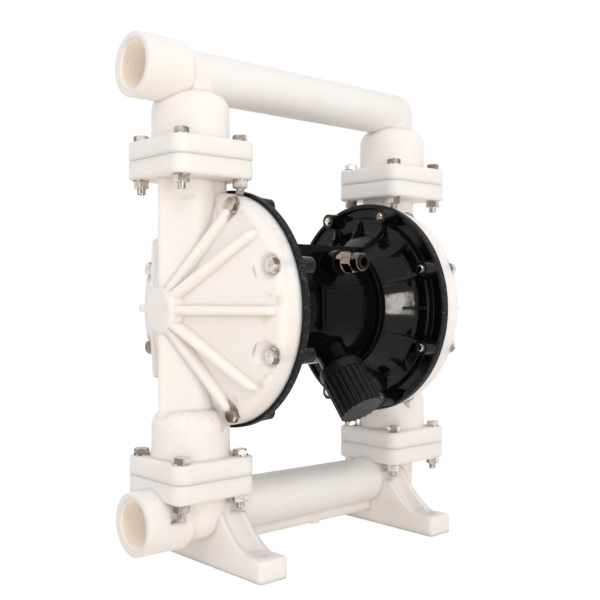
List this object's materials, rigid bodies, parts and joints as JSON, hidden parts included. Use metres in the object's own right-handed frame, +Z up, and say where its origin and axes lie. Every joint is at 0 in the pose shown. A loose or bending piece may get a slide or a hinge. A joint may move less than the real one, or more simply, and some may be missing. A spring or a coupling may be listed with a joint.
{
  "type": "air operated diaphragm pump",
  "caption": "Air operated double diaphragm pump with white plastic manifolds and ribbed chambers, black cast air section, side muffler and feet.",
  "frame": {"origin": "centre of the foot bolt pattern on the plane the feet stand on", "axes": "+X along the diaphragm rod away from the ports, +Y to the back away from the air inlet, +Z up"},
  "size_m": [0.488, 0.288, 0.6135],
  "materials": {
    "white_plastic": "soft satin, natural",
    "black_paint": "gloss",
    "stainless": "bright",
    "aluminium": "machined",
    "brass": "machined",
    "black_rubber": "matte",
    "ball_rubber": "smooth",
    "inner_plastic": "satin",
    "bearing_plastic": "satin",
    "black_plastic": "matte",
    "nickel": "nickel plated"
  },
  "bodies": {
    "casing": {"discharge_manifold": "white_plastic", "suction_manifold": "white_plastic", "fluid_chamber_left": "white_plastic", "fluid_chamber_right": "white_plastic", "air_chamber_left": "black_paint", "air_chamber_right": "black_paint", "center_body": "black_paint", "discharge_bolts": "stainless", "discharge_washers": "stainless", "discharge_nuts": "stainless", "suction_bolts": "stainless", "suction_washers": "stainless", "suction_nuts": "stainless", "chamber_bolts_left": "stainless", "chamber_bolts_right": "stainless", "chamber_washers_left": "stainless", "chamber_washers_right": "stainless", "body_screws_left": "stainless", "body_screws_right": "stainless", "valve_cap_left": "aluminium", "valve_cap_right": "aluminium", "chamber_inserts_left": "brass", "chamber_inserts_right": "brass", "pilot_bush": "brass", "valve_sleeve": "brass", "rod_seal_left": "black_rubber", "rod_seal_right": "black_rubber", "suction_seat_seals": "black_rubber", "discharge_seat_seals": "black_rubber", "suction_seat_left": "inner_plastic", "suction_seat_right": "inner_plastic", "discharge_seat_left": "inner_plastic", "discharge_seat_right": "inner_plastic", "rod_bush_left": "bearing_plastic", "rod_bush_right": "bearing_plastic", "muffler": "black_plastic", "fitting_collet": "black_plastic", "air_fitting": "nickel"},
    "rod": {"diaphragm_rod": "stainless", "diaphragm_left": "black_rubber", "diaphragm_right": "black_rubber", "inner_plate_left": "aluminium", "inner_plate_right": "aluminium", "outer_plate_left": "inner_plastic", "outer_plate_right": "inner_plastic", "diaphragm_screw_left": "stainless", "diaphragm_screw_right": "stainless"},
    "spool": {"valve_spool": "aluminium"},
    "pilot": {"pilot_pin": "stainless"},
    "suction_ball_left": {"suction_ball_left": "ball_rubber"},
    "suction_ball_right": {"suction_ball_right": "ball_rubber"},
    "discharge_ball_left": {"discharge_ball_left": "ball_rubber"},
    "discharge_ball_right": {"discharge_ball_right": "ball_rubber"}
  },
  "joints": [
    {"name": "rod_slide", "type": "slide", "parent": "casing", "child": "rod", "axis": [1, 0, 0], "range_m": [-0.02, 0.02], "deforming": ["diaphragm_left", "diaphragm_right"]},
    {"name": "spool_slide", "type": "slide", "parent": "casing", "child": "spool", "axis": [1, 0, 0], "range_m": [-0.008, 0.008]},
    {"name": "pilot_slide", "type": "slide", "parent": "casing", "child": "pilot", "axis": [1, 0, 0], "range_m": [-0.005, 0.005]},
    {"name": "suction_lift_left", "type": "slide", "parent": "casing", "child": "suction_ball_left", "axis": [0, 0, 1], "range_m": [0, 0.012]},
    {"name": "suction_lift_right", "type": "slide", "parent": "casing", "child": "suction_ball_right", "axis": [0, 0, 1], "range_m": [0, 0.012]},
    {"name": "discharge_lift_left", "type": "slide", "parent": "casing", "child": "discharge_ball_left", "axis": [0, 0, 1], "range_m": [0, 0.012]},
    {"name": "discharge_lift_right", "type": "slide", "parent": "casing", "child": "discharge_ball_right", "axis": [0, 0, 1], "range_m": [0, 0.012]}
  ],
  "couplings": [
    {"joint": "pilot_slide", "follows": "rod_slide", "ratio": 0.25}
  ]
}
